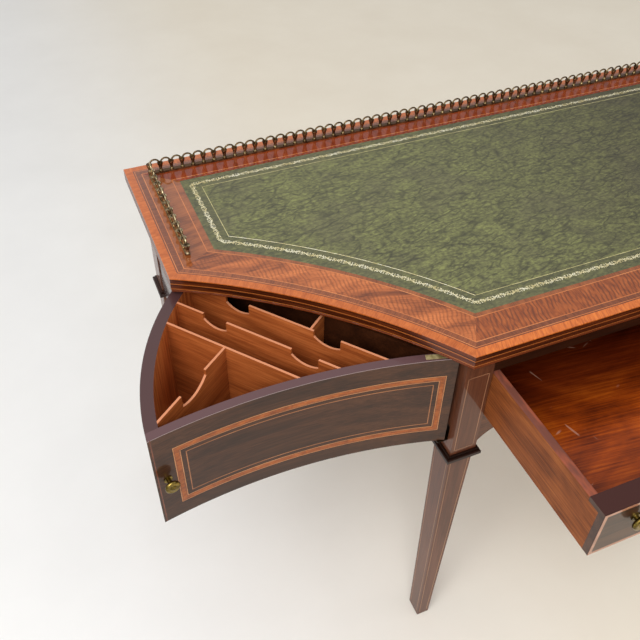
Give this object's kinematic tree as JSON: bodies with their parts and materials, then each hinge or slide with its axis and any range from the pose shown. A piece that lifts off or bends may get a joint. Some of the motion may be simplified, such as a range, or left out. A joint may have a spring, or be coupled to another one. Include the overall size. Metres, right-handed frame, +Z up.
{
  "type": "writing table",
  "caption": "Writing table with a leather top and brass gallery, concave front corners with swinging fitted compartments, a kneehole drawer and tapered legs.",
  "frame": {"origin": "middle of the table top's outline, on the upper face of the leather writing surface", "axes": "+Z up, -Y towards the sitter's side with the drawer, +X to the right seen from the sitter's side"},
  "size_m": [1.3169, 0.8542, 0.7896],
  "materials": {
    "mahogany_carcass": "polished",
    "mahogany_veneer": "polished, cross-grained",
    "mahogany_dark": "polished",
    "mahogany_side": "satin",
    "mahogany_red": "satin",
    "satinwood": "polished",
    "boxwood_string": "polished",
    "ebonised_moulding": "polished",
    "cedar": "matt",
    "secondary_wood": "matt",
    "leather": "antiqued, gilt tooled",
    "brass": "antique"
  },
  "bodies": {
    "table": {"table_top": "mahogany_carcass", "top_crossband": "satinwood", "top_border": "mahogany_veneer", "top_stringing": "boxwood_string", "leather_panel": "leather", "gallery_rear": "brass", "gallery_left": "brass", "gallery_right": "brass", "leg_front_left": "mahogany_carcass", "leg_front_right": "mahogany_carcass", "leg_rear_left": "mahogany_carcass", "leg_rear_right": "mahogany_carcass", "leg_collars": "ebonised_moulding", "rear_rail": "mahogany_carcass", "side_rail_left": "mahogany_carcass", "side_rail_right": "mahogany_carcass", "partition_left": "mahogany_carcass", "partition_right": "mahogany_carcass", "drawer_top_rail": "mahogany_carcass", "drawer_bottom_rail": "mahogany_carcass", "knee_arch": "mahogany_carcass", "drawer_runners": "secondary_wood", "drawer_kickers": "secondary_wood", "drawer_stops": "secondary_wood", "bay_stops": "secondary_wood", "top_fixing_blocks": "secondary_wood", "left_pivot_plate": "brass", "right_pivot_plate": "brass", "left_pivot_bracket": "brass", "right_pivot_bracket": "brass"},
    "left_compartment": {"left_front_board": "mahogany_dark", "left_arc_wall": "mahogany_dark", "left_inner_wall": "cedar", "left_floor": "cedar", "left_outer_divider": "cedar", "left_middle_divider": "cedar", "left_inner_divider": "cedar", "left_front_cross_divider": "cedar", "left_rear_cross_divider": "cedar", "left_hinge_leaves": "brass", "left_knob": "brass"},
    "right_compartment": {"right_front_board": "mahogany_dark", "right_arc_wall": "mahogany_dark", "right_inner_wall": "cedar", "right_floor": "cedar", "right_outer_divider": "cedar", "right_middle_divider": "cedar", "right_inner_divider": "cedar", "right_front_cross_divider": "cedar", "right_rear_cross_divider": "cedar", "right_hinge_leaves": "brass", "right_knob": "brass"},
    "drawer": {"drawer_front": "mahogany_dark", "drawer_side_left": "mahogany_side", "drawer_side_right": "mahogany_side", "drawer_back": "mahogany_side", "drawer_bottom": "mahogany_red", "drawer_knobs": "brass"}
  },
  "joints": [
    {"name": "left_compartment_swing", "type": "hinge", "parent": "table", "child": "left_compartment", "pos_m": [-0.2851, -0.26418, -0.12], "axis": [0, 0, 1], "range_deg": [-38.7, 21.3]},
    {"name": "right_compartment_swing", "type": "hinge", "parent": "table", "child": "right_compartment", "pos_m": [0.2851, -0.26418, -0.12], "axis": [0, 0, 1], "range_deg": [-60, 0]},
    {"name": "drawer_slide", "type": "slide", "parent": "table", "child": "drawer", "axis": [0, -1, 0], "range_m": [-0.248, 0.1]}
  ]
}
